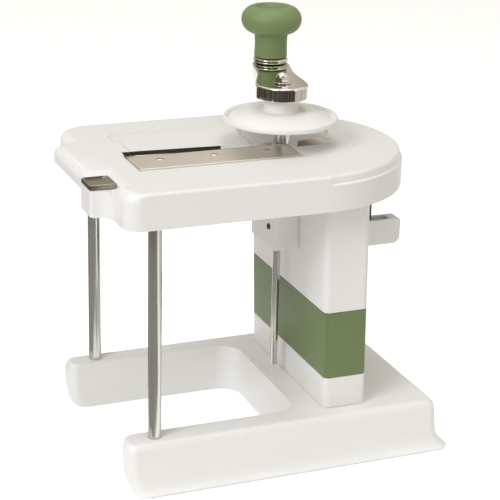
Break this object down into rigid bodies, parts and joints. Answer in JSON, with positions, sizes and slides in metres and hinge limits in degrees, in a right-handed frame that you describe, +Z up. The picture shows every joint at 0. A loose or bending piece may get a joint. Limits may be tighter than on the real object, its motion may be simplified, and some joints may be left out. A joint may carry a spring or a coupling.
{
  "type": "cabbage shredder",
  "caption": "Hand-cranked rotary cabbage shredder: white D-shaped blade table on posts and a column, spiked disc, polished crank arm and green knob.",
  "frame": {"origin": "floor level, at the middle of the whole width and depth", "axes": "+Z up; -Y is the front, where the user stands; +X to the user's right, from the grip lip to the round end"},
  "size_m": [0.292, 0.205, 0.3396],
  "materials": {
    "white_plastic": "satin moulded",
    "disc_plastic": "satin moulded",
    "green_plastic": "satin moulded",
    "rod_steel": "drawn",
    "blade_steel": "ground",
    "polished_steel": "polished",
    "zinc_steel": "zinc plated",
    "nylon": "moulded",
    "rubber": "matte"
  },
  "bodies": {
    "frame": {"base": "white_plastic", "table": "white_plastic", "column_upper": "white_plastic", "column_foot": "white_plastic", "spindle_housing": "white_plastic", "side_bracket": "white_plastic", "column_band": "green_plastic", "front_post": "rod_steel", "rear_post": "rod_steel", "plate_hinge_pin": "rod_steel", "stay_rod": "rod_steel", "blade": "blade_steel", "post_screw_front": "zinc_steel", "post_screw_rear": "zinc_steel", "column_bolt_front": "zinc_steel", "column_bolt_rear": "zinc_steel", "blade_screw_1": "zinc_steel", "blade_screw_2": "zinc_steel", "blade_screw_3": "zinc_steel", "bracket_screw": "zinc_steel", "upper_bush": "nylon", "lower_bush": "nylon", "foot_front_left": "rubber", "foot_rear_left": "rubber", "foot_front_right": "rubber", "foot_rear_right": "rubber"},
    "spindle": {"spindle_rod": "rod_steel", "stop_sleeve": "rod_steel"},
    "crank": {"spiked_disc": "disc_plastic", "crank_arm": "polished_steel", "washer": "polished_steel", "cap_nut": "polished_steel", "knob_collar": "polished_steel", "knob_pin": "rod_steel"},
    "knob": {"knob_grip": "green_plastic", "knob_plug": "green_plastic"},
    "slider": {"thickness_tab": "polished_steel", "tab_screw": "zinc_steel", "slide_bar": "nylon"},
    "plate": {"thickness_plate": "white_plastic"}
  },
  "joints": [
    {"name": "feed_slide", "type": "slide", "parent": "frame", "child": "spindle", "axis": [0, 0, 1], "range_m": [0, 0.095]},
    {"name": "crank_spin", "type": "hinge", "parent": "spindle", "child": "crank", "pos_m": [0.029, 0, 0.281], "axis": [0, 0, 1], "continuous": true},
    {"name": "knob_spin", "type": "hinge", "parent": "crank", "child": "knob", "pos_m": [0.0484, 0.0709, 0.299], "axis": [0, 0, 1], "continuous": true},
    {"name": "thickness_slide", "type": "slide", "parent": "frame", "child": "slider", "axis": [-1, 0, 0], "range_m": [0, 0.006]},
    {"name": "plate_tilt", "type": "hinge", "parent": "frame", "child": "plate", "pos_m": [-0.043, 0.0515, 0.2358], "axis": [1, 0, 0], "range_deg": [0, 3.9]}
  ],
  "couplings": [
    {"joint": "plate_tilt", "follows": "thickness_slide", "rad_per_m": 11.05}
  ]
}
